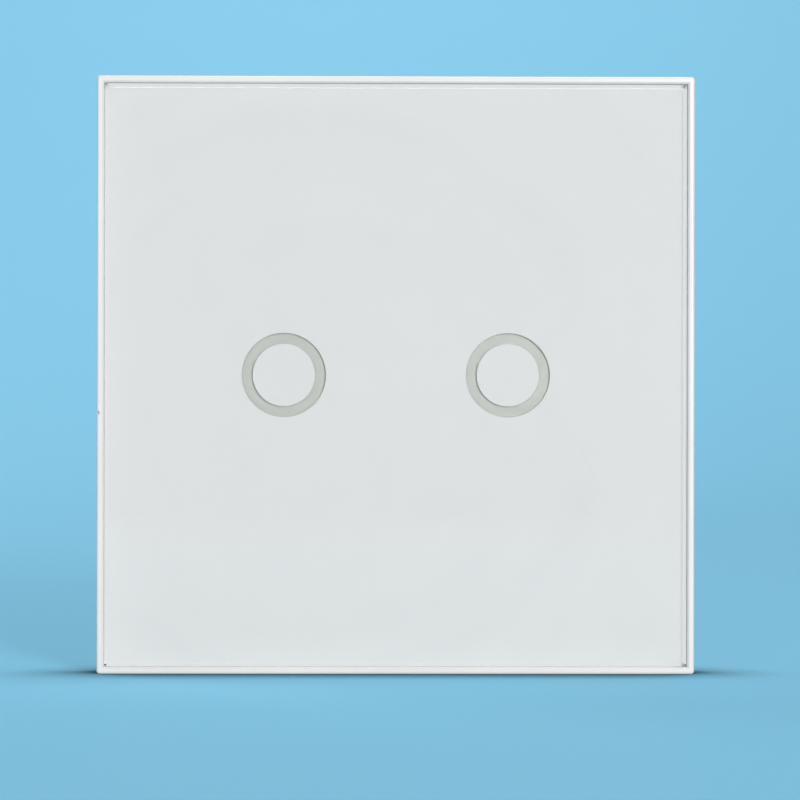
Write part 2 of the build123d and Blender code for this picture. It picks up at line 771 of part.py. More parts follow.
with BuildPart() as status_leds:
    with BuildSketch(Plane.XZ.offset(touch_board_front)):
        with GridLocations(ring_spacing, 1, 2, 1):
            with PolarLocations(guide_middle, led_count, start_angle=led_start):
                Rectangle(led_width, led_length)
    extrude(amount=led_height)

status_leds.part.label = "status_leds"
export_step(status_leds.part, "parts/status_leds.step")

radio_x = -radio_width / 2 - board_gap
radio_z = board_height / 2 - mouth_notch_z - radio_height / 2
radio_level = touch_board_level - radio_thickness
with BuildPart() as radio_board:
    with BuildSketch(Plane.XZ.offset(radio_level)):
        with Locations((radio_x, 0)):
            Rectangle(radio_width, radio_height)
    extrude(amount=radio_thickness)

radio_board.part.label = "radio_board"
export_step(radio_board.part, "parts/radio_board.step")

with BuildPart() as radio_shield:
    with BuildSketch(Plane.XZ.offset(radio_level - shield_thickness)):
        with Locations((radio_x, (shield_height - radio_height) / 2 + shield_margin)):
            Rectangle(shield_width, shield_height)
    extrude(amount=shield_thickness)
    offset(amount=-shield_wall, openings=radio_shield.faces().sort_by(Axis.Y)[0])

radio_shield.part.label = "radio_shield"
export_step(radio_shield.part, "parts/radio_shield.step")

# Header between the two boards: the pins and the socket that they stand in
header_width = header_columns * header_pitch
header_height = header_rows * header_pitch
header_x = board_width / 2 - mouth_notch_x - header_width / 2
header_z = header_height / 2 + header_pitch - board_height / 2
header_meet = touch_board_level - header_thickness
with BuildPart() as pin_header:
    with BuildSketch(Plane.XZ.offset(header_meet)):
        with Locations((header_x, header_z)):
            Rectangle(header_width, header_height)
    extrude(amount=header_thickness)
    with BuildSketch(Plane.XZ.offset(header_meet - pin_reach)):
        with Locations((header_x, header_z)):
            with GridLocations(header_pitch, header_pitch, header_columns, header_rows):
                Rectangle(pin_size, pin_size)
    extrude(amount=pin_reach)

pin_header.part.label = "pin_header"
export_step(pin_header.part, "parts/pin_header.step")

with BuildPart() as header_socket:
    with BuildSketch(Plane.XZ.offset(power_board_front)):
        with Locations((header_x, header_z)):
            Rectangle(header_width, header_height)
            with GridLocations(header_pitch, header_pitch, header_columns, header_rows):
                Rectangle(pin_hole, pin_hole, mode=Mode.SUBTRACT)
    extrude(amount=header_meet - power_board_front)

header_socket.part.label = "header_socket"
export_step(header_socket.part, "parts/header_socket.step")

# Power board
with BuildPart() as power_board:
    with BuildSketch(Plane.XZ.offset(power_board_level)):
        Rectangle(board_width, board_height)
        with GridLocations(board_width, board_height, 2, 2):
            Rectangle(2 * mouth_notch_x, 2 * mouth_notch_z, mode=Mode.SUBTRACT)
        with Locations((-board_screw_side, board_screw_rise), (board_screw_side, board_screw_rise)):
            Circle(board_screw_shank + board_screw_fit, mode=Mode.SUBTRACT)
    extrude(amount=power_board_thickness)

power_board.part.label = "power_board"
export_step(power_board.part, "parts/power_board.step")

# Four small screws: two from behind into the cover's posts, two from the front into the housing's
with BuildPart() as board_screws:
    with BuildSketch(Plane.XZ.offset(touch_board_level)):
        with GridLocations(1, 2 * board_screw_place, 1, 2):
            Circle(board_screw_shank)
    extrude(amount=board_screw_length)
    with BuildSketch(Plane.XZ.offset(touch_board_level - board_screw_head_height)):
        with GridLocations(1, 2 * board_screw_place, 1, 2):
            Circle(board_screw_head)
    extrude(amount=board_screw_head_height)
    with BuildSketch(Plane.XZ.offset(power_board_front - board_screw_length)):
        with Locations((-board_screw_side, board_screw_rise), (board_screw_side, board_screw_rise)):
            Circle(board_screw_shank)
    extrude(amount=board_screw_length)
    with BuildSketch(Plane.XZ.offset(power_board_front)):
        with Locations((-board_screw_side, board_screw_rise), (board_screw_side, board_screw_rise)):
            Circle(board_screw_head)
    extrude(amount=board_screw_head_height)

board_screws.part.label = "board_screws"
export_step(board_screws.part, "parts/board_screws.step")

# Terminal block: open towards the power board, with a cavity for each clamp and a well for its screw
block_bottom = -housing_half_z
block_top = block_bottom + terminal_block_height
cavity_bottom = block_bottom + terminal_wall
cavity_top = cavity_bottom + cage_length + 2 * cage_gap
pocket_top = cavity_top + wire_pocket
contact_top = block_top - terminal_wall
contact_width = cage_inner - 2 * contact_bar_gap
with BuildPart() as terminal_block:
    with BuildSketch(Plane.XZ.offset(housing_floor)):
        with Locations((0, (block_top + block_bottom) / 2)):
            Rectangle(block_width, terminal_block_height)
    extrude(amount=block_front - housing_floor)
    with BuildSketch(Plane.XZ.offset(cavity_back)):
        with Locations(*[(x, (cavity_top + cavity_bottom) / 2) for x in terminal_xs]):
            Rectangle(cell_width, cavity_top - cavity_bottom)
    extrude(amount=block_front - cavity_back, mode=Mode.SUBTRACT)
    # Wire holes, and a pocket past each clamp for the wire's end
    with BuildSketch(Plane.XY.offset(block_bottom)):
        with Locations(*[(x, opening_depth) for x in terminal_xs]):
            Rectangle(cage_inner, wire_opening)
    extrude(amount=pocket_top - block_bottom, mode=Mode.SUBTRACT)
    # Slots that hold the contact bars and let their legs out to the board
    with BuildSketch(Plane.XZ.offset(contact_back)):
        with Locations(*[(x, (cavity_top + contact_top) / 2) for x in terminal_xs]):
            Rectangle(contact_width, contact_top - cavity_top)
    extrude(amount=contact_bar_thickness + contact_fit, mode=Mode.SUBTRACT)
    with BuildSketch(Plane.XZ.offset(contact_front)):
        leg_middle = contact_top - contact_bar_thickness / 2
        with Locations(*[(x, leg_middle) for x in terminal_xs]):
            Rectangle(contact_leg_width + 2 * contact_fit, contact_bar_thickness + 2 * contact_fit)
    extrude(amount=block_front - contact_front, mode=Mode.SUBTRACT)
    # Shank holes and head wells
    with BuildSketch(Plane.XZ.offset(clamp_seat)):
        with Locations(*[(x, screw_line) for x in terminal_xs]):
            Circle(clamp_shank + clamp_hole_gap)
    extrude(amount=cavity_back - clamp_seat, mode=Mode.SUBTRACT)
    with BuildSketch(Plane.XZ.offset(housing_floor)):
        with Locations(*[(x, screw_line) for x in terminal_xs]):
            Circle(clamp_head + clamp_hole_gap)
    extrude(amount=clamp_seat - housing_floor, mode=Mode.SUBTRACT)

terminal_block.part.label = "terminal_block"
export_step(terminal_block.part, "parts/terminal_block.step")

# Contact bars: each lies across its clamp, and its leg goes to the power board
cage_bottom = cavity_bottom + cage_gap
with BuildPart() as contact_bars:
    with BuildSketch(Plane.XZ.offset(contact_back)):
        with Locations(*[(x, (cage_bottom + contact_top) / 2) for x in terminal_xs]):
            Rectangle(contact_width, contact_top - cage_bottom)
    extrude(amount=contact_bar_thickness)
    with BuildSketch(Plane.XZ.offset(contact_front)):
        with Locations(*[(x, leg_middle) for x in terminal_xs]):
            Rectangle(contact_leg_width, contact_bar_thickness)
    extrude(amount=power_board_level - contact_front)

contact_bars.part.label = "contact_bars"
export_step(contact_bars.part, "parts/contact_bars.step")

# Rising clamps: each screw turns in its well and draws its cage back, which grips the wire
for number, x in enumerate(terminal_xs, start=1):
    with BuildPart() as clamp_cage:
        with BuildSketch(Plane.XY.offset(cage_bottom)):
            with Locations((x, -(cage_front + cage_back) / 2)):
                Rectangle(cage_outer, cage_front - cage_back)
            inner_front = cage_front - cage_front_bar
            inner_back = cage_back + cage_rear_bar
            with Locations((x, -(inner_front + inner_back) / 2)):
                Rectangle(cage_inner, inner_front - inner_back, mode=Mode.SUBTRACT)
        extrude(amount=cage_length)
        with BuildSketch(Plane.XZ.offset(cage_back)):
            with Locations((x, screw_line)):
                Circle(clamp_shank + clamp_thread_fit)
        extrude(amount=cage_rear_bar, mode=Mode.SUBTRACT)
    clamp_cage.part.label = f"clamp_cage_{number}"
    export_step(clamp_cage.part, f"parts/clamp_cage_{number}.step")

    with BuildPart() as clamp_screw:
        with BuildSketch(Plane.XZ.offset(clamp_head_front)):
            with Locations((x, screw_line)):
                Circle(clamp_shank)
        extrude(amount=contact_back - clamp_head_gap - clamp_head_front)
        with BuildSketch(Plane.XZ.offset(clamp_head_back)):
            with Locations((x, screw_line)):
                Circle(clamp_head)
        extrude(amount=clamp_head_height)
        with BuildSketch(Plane.XZ.offset(clamp_head_back)):
            with Locations((x, screw_line)):
                Rectangle(2 * clamp_head, clamp_slot_width)
        extrude(amount=clamp_slot_depth, mode=Mode.SUBTRACT)
    clamp_screw.part.label = f"clamp_screw_{number}"
    export_step(clamp_screw.part, f"parts/clamp_screw_{number}.step")

# Relays, each drawn from the power board's rear face towards the wall box
relay_z = block_top + relay_block_gap + relay_height / 2
board_depth = -power_board_level
base_depth = board_depth + relay_base_thickness
yoke_depth = base_depth + yoke_thickness
flange_depth = yoke_depth + 2 * coil_flange_thickness + coil_length
pole_depth = flange_depth + core_head_thickness
for side, sign in sides.items():
    relay_x = sign * (relay_width + relay_spacing) / 2
    room_left = relay_x - relay_width / 2 + relay_wall + relay_fit
    room_right = relay_x + relay_width / 2 - relay_wall - relay_fit
    yoke_x = room_left + yoke_side_gap
    coil_x = yoke_x + yoke_thickness + coil_side_gap + coil_flange / 2
    hinge_x = yoke_x + yoke_thickness / 2
    blade_end = room_right - blade_side_gap
    button_x = blade_end - blade_reach - button_radius
    hinge_depth = pole_depth + armature_gap

    with BuildPart() as relay_case:
        with BuildSketch(Plane.XZ.offset(power_board_level - relay_depth)):
            with Locations((relay_x, relay_z)):
                Rectangle(relay_width, relay_height)
        extrude(amount=relay_depth)
        offset(amount=-relay_wall, openings=relay_case.faces().sort_by(Axis.Y)[0])
    relay_case.part.label = f"relay_case_{side}"
    export_step(relay_case.part, f"parts/relay_case_{side}.step")

    with BuildPart() as relay_base:
        with BuildSketch(Plane.XZ.offset(-base_depth)):
            with Locations((relay_x, relay_z)):
                base_trim = 2 * relay_wall + 2 * relay_fit
                Rectangle(relay_width - base_trim, relay_height - base_trim)
        extrude(amount=relay_base_thickness)
    relay_base.part.label = f"relay_base_{side}"
    export_step(relay_base.part, f"parts/relay_base_{side}.step")

    with BuildPart() as relay_yoke:
        with BuildSketch(Plane.XY.offset(relay_z - yoke_height / 2)):
            with BuildLine():
                Polyline(
                    (yoke_x, base_depth),
                    (yoke_x + yoke_foot, base_depth),
                    (yoke_x + yoke_foot, yoke_depth),
                    (yoke_x + yoke_thickness, yoke_depth),
                    (yoke_x + yoke_thickness, pole_depth),
                    (yoke_x, pole_depth),
                    close=True,
                )
            make_face()
        extrude(amount=yoke_height)
    relay_yoke.part.label = f"relay_yoke_{side}"
    export_step(relay_yoke.part, f"parts/relay_yoke_{side}.step")

    with BuildPart() as relay_coil:
        with BuildSketch(Plane.XZ.offset(-flange_depth)):
            with Locations((coil_x, relay_z)):
                Circle(coil_winding)
        extrude(amount=flange_depth - yoke_depth)
        with BuildSketch(Plane.XZ.offset(-flange_depth)):
            with Locations((coil_x, relay_z)):
                Rectangle(coil_flange, coil_flange)
        extrude(amount=coil_flange_thickness)
        with BuildSketch(Plane.XZ.offset(-yoke_depth - coil_flange_thickness)):
            with Locations((coil_x, relay_z)):
                Rectangle(coil_flange, coil_flange)
        extrude(amount=coil_flange_thickness)
        with BuildSketch(Plane.XZ.offset(-flange_depth)):
            with Locations((coil_x, relay_z)):
                Circle(core_radius)
        extrude(amount=flange_depth - yoke_depth, mode=Mode.SUBTRACT)
    relay_coil.part.label = f"relay_coil_{side}"
    export_step(relay_coil.part, f"parts/relay_coil_{side}.step")

    with BuildPart() as relay_core:
        with BuildSketch(Plane.XZ.offset(-pole_depth)):
            with Locations((coil_x, relay_z)):
                Circle(core_head_radius)
        extrude(amount=core_head_thickness)
        with BuildSketch(Plane.XZ.offset(-flange_depth)):
            with Locations((coil_x, relay_z)):
                Circle(core_radius)
        extrude(amount=flange_depth - yoke_depth)
    relay_core.part.label = f"relay_core_{side}"
    export_step(relay_core.part, f"parts/relay_core_{side}.step")

    # The armature is drawn flat and turned about its edge on the yoke
    with BuildPart() as relay_armature:
        with BuildSketch(Plane.XY.offset(relay_z - armature_height / 2)):
            with Locations(Location((hinge_x, hinge_depth, 0), (0, 0, armature_tilt))):
                Rectangle(armature_length, armature_thickness, align=(Align.MIN, Align.MIN))
        extrude(amount=armature_height)
        with BuildSketch(Plane.XY.offset(relay_z - leaf_height / 2)):
            with Locations(Location((hinge_x, hinge_depth, 0), (0, 0, armature_tilt))):
                with Locations((leaf_start, armature_thickness)):
                    leaf_length = button_x - hinge_x + leaf_tail - leaf_start
                    Rectangle(leaf_length, leaf_thickness, align=(Align.MIN, Align.MIN))
        extrude(amount=leaf_height)
        with BuildSketch(Plane.XY.offset(relay_z - button_radius)):
            with Locations(Location((hinge_x, hinge_depth, 0), (0, 0, armature_tilt))):
                with Locations((button_x - hinge_x, 0)):
                    Rectangle(2 * button_radius, armature_thickness, align=(Align.CENTER, Align.MIN))
        extrude(amount=2 * button_radius)
    relay_armature.part.label = f"relay_armature_{side}"
    export_step(relay_armature.part, f"parts/relay_armature_{side}.step")

    with BuildPart() as relay_contact:
        blade_depth = pole_depth - button_thickness
        with BuildSketch(Plane.XY.offset(relay_z - leaf_height / 2)):
            with BuildLine():
                Polyline(
                    (button_x - button_radius, blade_depth),
                    (blade_end, blade_depth),
                    (blade_end, base_depth),
                    (blade_end - blade_thickness, base_depth),
                    (blade_end - blade_thickness, blade_depth - blade_thickness),
                    (button_x - button_radius, blade_depth - blade_thickness),
                    close=True,
                )
            make_face()
        extrude(amount=leaf_height)
        with BuildSketch(Plane.XZ.offset(-pole_depth)):
            with Locations((button_x, relay_z)):
                Circle(button_radius)
        extrude(amount=button_thickness)
    relay_contact.part.label = f"relay_contact_{side}"
    export_step(relay_contact.part, f"parts/relay_contact_{side}.step")

# Transformer: a core of two windows, and the winding round its middle limb
transformer_x, transformer_z = board_place(transformer_share, transformer_drop)
with BuildPart() as transformer_core:
    with BuildSketch(Plane.XY.offset(transformer_z - transformer_height / 2)):
        with Locations((transformer_x, board_depth + transformer_depth / 2)):
            Rectangle(transformer_width, transformer_depth)
            window_width = transformer_width / 2 - 2 * transformer_limb
            window_height = transformer_depth - 2 * transformer_limb
            with GridLocations(window_width + 2 * transformer_limb, 1, 2, 1):
                Rectangle(window_width, window_height, mode=Mode.SUBTRACT)
    extrude(amount=transformer_height)

transformer_core.part.label = "transformer_core"
export_step(transformer_core.part, "parts/transformer_core.step")

with BuildPart() as transformer_winding:
    with BuildSketch(Plane.XZ.offset(-board_depth - transformer_depth + transformer_limb + winding_gap)):
        with Locations((transformer_x, transformer_z)):
            winding_width = 2 * (window_width + transformer_limb - winding_gap)
            RectangleRounded(winding_width, winding_height, transformer_limb)
            Rectangle(2 * transformer_limb, transformer_height, mode=Mode.SUBTRACT)
    extrude(amount=window_height - 2 * winding_gap)

transformer_winding.part.label = "transformer_winding"
export_step(transformer_winding.part, "parts/transformer_winding.step")

# Two smoothing capacitors: cans with a rolled groove
with BuildPart() as smoothing_capacitors:
    for share in capacitor_shares:
        place_x, place_z = board_place(share, capacitor_drop)
        with BuildSketch(Plane.XY.offset(place_z)):
            with BuildLine():
                can_end = board_depth + capacitor_length
                groove = board_depth + capacitor_groove_place
                Polyline(
                    (place_x, board_depth),
                    (place_x + capacitor_radius, board_depth),
                    (place_x + capacitor_radius, groove - capacitor_groove),
                    (place_x + capacitor_radius - capacitor_groove, groove),
                    (place_x + capacitor_radius, groove + capacitor_groove),
                    (place_x + capacitor_radius, can_end - capacitor_groove),
                    (place_x + capacitor_radius - capacitor_groove, can_end),
                    (place_x, can_end),
                    close=True,
                )
            make_face()
        revolve(axis=Axis((place_x, 0, place_z), (0, 1, 0)))

smoothing_capacitors.part.label = "smoothing_capacitors"
export_step(smoothing_capacitors.part, "parts/smoothing_capacitors.step")

# Suppression capacitor and bridge rectifier: moulded boxes
block_parts = {
    "suppression_capacitor": (board_place(film_capacitor_share, film_capacitor_drop), film_capacitor_size),
    "bridge_rectifier": (board_place(rectifier_share, rectifier_drop), rectifier_size),
}
for name, (place, size) in block_parts.items():
    across, up, deep = size
    with BuildPart() as moulded_box:
        with BuildSketch(Plane.XZ.offset(power_board_level - deep)):
            with Locations(place):
                Rectangle(across, up)
        extrude(amount=deep)
        chamfer(moulded_box.edges().filter_by(Axis.Y), length=box_chamfer)
    moulded_box.part.label = name
    export_step(moulded_box.part, f"parts/{name}.step")

# Fuse: a tube that lies on the board, with a wider cap on each end
fuse_x, fuse_z = board_place(fuse_share, fuse_drop)
with BuildPart() as fuse:
    with BuildSketch(Plane.YZ.offset(fuse_x)):
        with Locations((board_depth + fuse_radius, fuse_z)):
            Circle(fuse_radius - fuse_cap_step)
    extrude(amount=fuse_length / 2, both=True)
    for cap_start in (fuse_x - fuse_length / 2, fuse_x + fuse_length / 2 - fuse_cap_length):
        with BuildSketch(Plane.YZ.offset(cap_start)):
            with Locations((board_depth + fuse_radius, fuse_z)):
                Circle(fuse_radius)
        extrude(amount=fuse_cap_length)

fuse.part.label = "fuse"
export_step(fuse.part, "parts/fuse.step")

# Varistor: a coated disc that stands on its edge
varistor_x, varistor_z = board_place(varistor_share, varistor_drop)
with BuildPart() as varistor:
    with BuildSketch(Plane.XY.offset(varistor_z - varistor_thickness / 2)):
        with Locations((varistor_x, board_depth + varistor_radius)):
            Circle(varistor_radius)
    extrude(amount=varistor_thickness)
    chamfer(varistor.edges().filter_by(GeomType.CIRCLE), length=varistor_edge)

varistor.part.label = "varistor"
export_step(varistor.part, "parts/varistor.step")

# Choke: a drum core with its winding in the waist
choke_place = board_place(choke_share, choke_drop)
with BuildPart() as choke:
    with BuildSketch(Plane.XZ.offset(power_board_level - choke_length)):
        with Locations(choke_place):
            Circle(choke_waist)
    extrude(amount=choke_length)
    for level in (power_board_level - choke_length, power_board_level - choke_flange):
        with BuildSketch(Plane.XZ.offset(level)):
            with Locations(choke_place):
                Circle(choke_radius)
        extrude(amount=choke_flange)

choke.part.label = "choke"
export_step(choke.part, "parts/choke.step")
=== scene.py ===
import json
import math

import bmesh
import bpy
from mathutils import Matrix, Vector


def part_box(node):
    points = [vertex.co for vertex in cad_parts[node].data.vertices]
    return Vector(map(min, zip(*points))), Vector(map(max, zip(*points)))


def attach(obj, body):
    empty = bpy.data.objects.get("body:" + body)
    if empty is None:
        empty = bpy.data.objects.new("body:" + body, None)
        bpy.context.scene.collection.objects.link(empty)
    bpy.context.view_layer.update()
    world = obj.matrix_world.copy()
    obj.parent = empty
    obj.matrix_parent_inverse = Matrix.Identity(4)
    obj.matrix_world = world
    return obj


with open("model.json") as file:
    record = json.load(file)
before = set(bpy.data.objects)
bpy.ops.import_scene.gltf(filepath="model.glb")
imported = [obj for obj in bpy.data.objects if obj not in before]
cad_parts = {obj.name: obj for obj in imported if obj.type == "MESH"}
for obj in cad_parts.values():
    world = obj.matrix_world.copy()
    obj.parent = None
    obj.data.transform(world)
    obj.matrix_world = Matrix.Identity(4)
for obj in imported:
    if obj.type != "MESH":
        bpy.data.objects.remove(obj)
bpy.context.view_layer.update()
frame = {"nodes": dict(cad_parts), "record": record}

nodes = frame["nodes"]
scene = bpy.context.scene
scene.view_settings.view_transform = "Standard"
MM = 0.001
RIGHT_ANGLE = math.radians(90)

# Where the plate lies in the photograph, in its pixels
FRAME_PIXELS = 800
PLATE_LEFT = 97.0
PLATE_RIGHT = 695.2
PLATE_TOP = 75.8
PLATE_BOTTOM = 674.4

# Camera: its distance from the glass in metres, its sensor in millimetres
CAMERA_DISTANCE = 0.65
CAMERA_AZIMUTH = math.radians(-1.1)
CAMERA_ROLL = math.radians(-0.1)
SENSOR_WIDTH = 36.0

# Nearly all values of a noise texture lie between these two
NOISE_LOW = 0.3
NOISE_HIGH = 0.7

# Moulded surfaces: how far apart their paler and darker places are, and how much their gloss varies
DRIFT_SPACING = 14 * MM
GRAIN_GLOSS_SWING = 0.15

# Plated metal: how deep its streaks are, and how much its gloss varies from one to the next
STREAK_RELIEF = 0.004 * MM
STREAK_GLOSS_SWING = 0.25

# Glass: soda-lime, with the ripple that the rollers of the toughening oven leave
GLASS_TINT = "#FEFFFF"
GLASS_IOR = 1.52
RIPPLE_SPACING = 25 * MM
RIPPLE_RELIEF = 0.002 * MM

# Boards: the tracks' spacing, and the shares of it at which a track's shade ends and the board's begins
TRACK_SPACING = 3.2 * MM
TRACK_CORE = 0.04
TRACK_RIM = 0.06
TRACK_RELIEF = 0.03 * MM
LACQUER_ROUGHNESS = 0.3

# Windings: the wave texture's phase grows by so many radians in each unit of its scaled length
WAVE_PHASE = 20
# Painted shade darkens the grooves between the turns, and a painted highlight lightens the ridges
GROOVE_PAINTED_SHADE = 0.7
RIDGE_PAINTED_HIGHLIGHT = 1.05
RIDGE_RELIEF = 0.1 * MM
RIDGE_WANDER = 0.3
VARNISH_ROUGHNESS = 0.28

# Raised numbers over the screwdriver holes of the four terminals
TERMINALS = 4
NUMBER_HEIGHT = 2.4 * MM
NUMBER_RELIEF = 0.3 * MM
NUMBER_RISE = 4.2 * MM
FONT_SIZE_PER_HEIGHT = 1.4
NUMBER_CURVE_STEPS = 4

# Stage, in metres: the floor fades out from one line to its front edge, and bends up at the backdrop
FLOOR_FRONT = -0.9
FLOOR_FADE = -0.5
BACKDROP_FOOT = 0.9
BACKDROP_TOP = 2.6
BEND_RADIUS = 0.6
BEND_STEPS = 16
STAGE_HALF_WIDTH = 3.0

# Card of the stage: its colour to the eye, what it throws back on the object, and its slight sheen
CARD_COLOUR = "#92D8F8"
CARD_THROWN_BACK = "#BCBEC0"
CARD_SHEEN = 0.01
CARD_SHEEN_ROUGHNESS = 0.3

# Painted contact shadow: its reach, and the shares of open sky between which it goes from darkest to
# none
CONTACT_REACH = 14 * MM
CONTACT_SAMPLES = 8
CONTACT_HIDDEN = 0.5
CONTACT_OPEN = 0.98
CONTACT_DARKEST = 0.2

# World
SKY_COLOUR = "#F4F7F8"
SKY_STRENGTH = 0.28

# What the lamps point at
SWITCH = (0, 0, 0)
BACKDROP = (0, 1.45, 0.25)


def linear(code):
    """A colour written as sRGB hex, in the linear values that shaders and lamps take."""
    parts = [int(code[place:place + 2], 16) / 255 for place in (1, 3, 5)]
    curve = [part / 12.92 if part <= 0.04045 else ((part + 0.055) / 1.055) ** 2.4 for part in parts]
    return (*curve, 1.0)


def add(tree, kind, sockets=None, links=None, **settings):
    """Adds a node with its settings, the values of its sockets and the outputs that feed them."""
    node = tree.nodes.new(kind)
    for name, value in settings.items():
        setattr(node, name, value)
    for name, value in (sockets or {}).items():
        node.inputs[name].default_value = value
    for name, source in (links or {}).items():
        tree.links.new(source, node.inputs[name])
    return node


def start_material(name):
    """A material with an empty node tree and an output."""
    material = bpy.data.materials.new(name)
    material.use_nodes = True
    tree = material.node_tree
    tree.nodes.clear()
    return material, tree, add(tree, "ShaderNodeOutputMaterial")


# Materials
def moulded(name, colour, roughness, grain_mm, relief_mm, swing=0.02, **sockets):
    """Plastic, resin or another cast or coated surface: an even colour that drifts a little over a
    thumb's width, under a fine grain such as the mould's steel was given, which breaks up the
    highlights. A grain too fine to show is drawn as coarse as it needs to be."""
    material, tree, output = start_material(name)
    place = add(tree, "ShaderNodeTexCoord")
    broad = add(
        tree, "ShaderNodeTexNoise",
        sockets={"Scale": 1 / DRIFT_SPACING, "Detail": 1.0},
        links={"Vector": place.outputs["Object"]},
    )
    fine = add(
        tree, "ShaderNodeTexNoise",
        sockets={"Scale": 1 / (grain_mm * MM), "Detail": 2.0},
        links={"Vector": place.outputs["Object"]},
    )
    level = add(
        tree, "ShaderNodeMapRange",
        sockets={
            "From Min": NOISE_LOW,
            "From Max": NOISE_HIGH,
            "To Min": 1 - swing,
            "To Max": 1 + swing,
        },
        links={"Value": broad.outputs["Fac"]},
    )
    shade = add(
        tree, "ShaderNodeHueSaturation",
        sockets={"Color": linear(colour)},
        links={"Value": level.outputs["Result"]},
    )
    gloss = add(
        tree, "ShaderNodeMapRange",
        sockets={
            "From Min": NOISE_LOW,
            "From Max": NOISE_HIGH,
            "To Min": (1 - GRAIN_GLOSS_SWING) * roughness,
            "To Max": (1 + GRAIN_GLOSS_SWING) * roughness,
        },
        links={"Value": fine.outputs["Fac"]},
    )
    relief = add(
        tree, "ShaderNodeBump",
        sockets={"Strength": 1.0, "Distance": relief_mm * MM},
        links={"Height": fine.outputs["Fac"]},
    )
    surface = add(
        tree, "ShaderNodeBsdfPrincipled",
        sockets=sockets,
        links={
            "Base Color": shade.outputs["Color"],
            "Roughness": gloss.outputs["Result"],
            "Normal": relief.outputs["Normal"],
        },
    )
    tree.links.new(surface.outputs["BSDF"], output.inputs["Surface"])
    return material


def plated(name, colour, roughness, streak_mm, stretch, swing=0.06):
    """Metal that was drawn, turned, rolled or stamped, mostly plated since: faint streaks along the
    way it was worked, in its colour, its gloss and its relief. They are wider than real ones, which
    would be too fine to show."""
    material, tree, output = start_material(name)
    place = add(tree, "ShaderNodeTexCoord")
    along = add(
        tree, "ShaderNodeMapping",
        sockets={"Scale": tuple(1 / part for part in stretch)},
        links={"Vector": place.outputs["Object"]},
    )
    streaks = add(
        tree, "ShaderNodeTexNoise",
        sockets={"Scale": 1 / (streak_mm * MM), "Detail": 3.0},
        links={"Vector": along.outputs["Vector"]},
    )
    level = add(
        tree, "ShaderNodeMapRange",
        sockets={
            "From Min": NOISE_LOW,
            "From Max": NOISE_HIGH,
            "To Min": 1 - swing,
            "To Max": 1 + swing,
        },
        links={"Value": streaks.outputs["Fac"]},
    )
    shade = add(
        tree, "ShaderNodeHueSaturation",
        sockets={"Color": linear(colour)},
        links={"Value": level.outputs["Result"]},
    )
    gloss = add(
        tree, "ShaderNodeMapRange",
        sockets={
            "From Min": NOISE_LOW,
            "From Max": NOISE_HIGH,
            "To Min": (1 - STREAK_GLOSS_SWING) * roughness,
            "To Max": (1 + STREAK_GLOSS_SWING) * roughness,
        },
        links={"Value": streaks.outputs["Fac"]},
    )
    relief = add(
        tree, "ShaderNodeBump",
        sockets={"Strength": 1.0, "Distance": STREAK_RELIEF},
        links={"Height": streaks.outputs["Fac"]},
    )
    surface = add(
        tree, "ShaderNodeBsdfPrincipled",
        sockets={"Metallic": 1.0},
        links={
            "Base Color": shade.outputs["Color"],
            "Roughness": gloss.outputs["Result"],
            "Normal": relief.outputs["Normal"],
        },
    )
    tree.links.new(surface.outputs["BSDF"], output.inputs["Surface"])
    return material


def toughened_glass():
    """Clear float glass with a polished bevel, toughened: it bends the white film's edge into the
    bevel, and its ripple is too faint to see straight on. It lets the lamps through to the film."""
    material, tree, output = start_material("toughened_glass")
    place = add(tree, "ShaderNodeTexCoord")
    ripple = add(
        tree, "ShaderNodeTexNoise",
        sockets={"Scale": 1 / RIPPLE_SPACING, "Detail": 0.0},
        links={"Vector": place.outputs["Object"]},
    )
    relief = add(
        tree, "ShaderNodeBump",
        sockets={"Strength": 1.0, "Distance": RIPPLE_RELIEF},
        links={"Height": ripple.outputs["Fac"]},
    )
    glass = add(
        tree, "ShaderNodeBsdfPrincipled",
        sockets={
            "Base Color": linear(GLASS_TINT),
            "Roughness": 0.0,
            "IOR": GLASS_IOR,
            "Transmission Weight": 1.0,
        },
        links={"Normal": relief.outputs["Normal"]},
    )
    clear = add(tree, "ShaderNodeBsdfTransparent", sockets={"Color": linear(GLASS_TINT)})
    path = add(tree, "ShaderNodeLightPath")
    lit = add(
        tree, "ShaderNodeMath",
        operation="MAXIMUM",
        links={0: path.outputs["Is Shadow Ray"], 1: path.outputs["Is Diffuse Ray"]},
    )
    mixed = add(
        tree, "ShaderNodeMixShader",
        links={
            0: lit.outputs["Value"],
            1: glass.outputs["BSDF"],
            2: clear.outputs["BSDF"],
        },
    )
    tree.links.new(mixed.outputs["Shader"], output.inputs["Surface"])
    return material


def solder_mask(name, colour, swing):
    """Lacquer over etched copper: satin, with the tracks showing through as lines about 0.3 mm wide,
    paler than the board where the swing is above nothing and darker where it is below."""
    material, tree, output = start_material(name)
    place = add(tree, "ShaderNodeTexCoord")
    tracks = add(
        tree, "ShaderNodeTexVoronoi",
        feature="DISTANCE_TO_EDGE",
        sockets={"Scale": 1 / TRACK_SPACING},
        links={"Vector": place.outputs["Object"]},
    )
    level = add(
        tree, "ShaderNodeMapRange",
        sockets={
            "From Min": TRACK_CORE,
            "From Max": TRACK_RIM,
            "To Min": 1 + swing,
            "To Max": 1.0,
        },
        links={"Value": tracks.outputs["Distance"]},
    )
    shade = add(
        tree, "ShaderNodeHueSaturation",
        sockets={"Color": linear(colour)},
        links={"Value": level.outputs["Result"]},
    )
    relief = add(
        tree, "ShaderNodeBump",
        sockets={"Strength": 1.0, "Distance": TRACK_RELIEF},
        links={"Height": level.outputs["Result"]},
    )
    surface = add(
        tree, "ShaderNodeBsdfPrincipled",
        sockets={"Roughness": LACQUER_ROUGHNESS},
        links={"Base Color": shade.outputs["Color"], "Normal": relief.outputs["Normal"]},
    )
    tree.links.new(surface.outputs["BSDF"], output.inputs["Surface"])
    return material


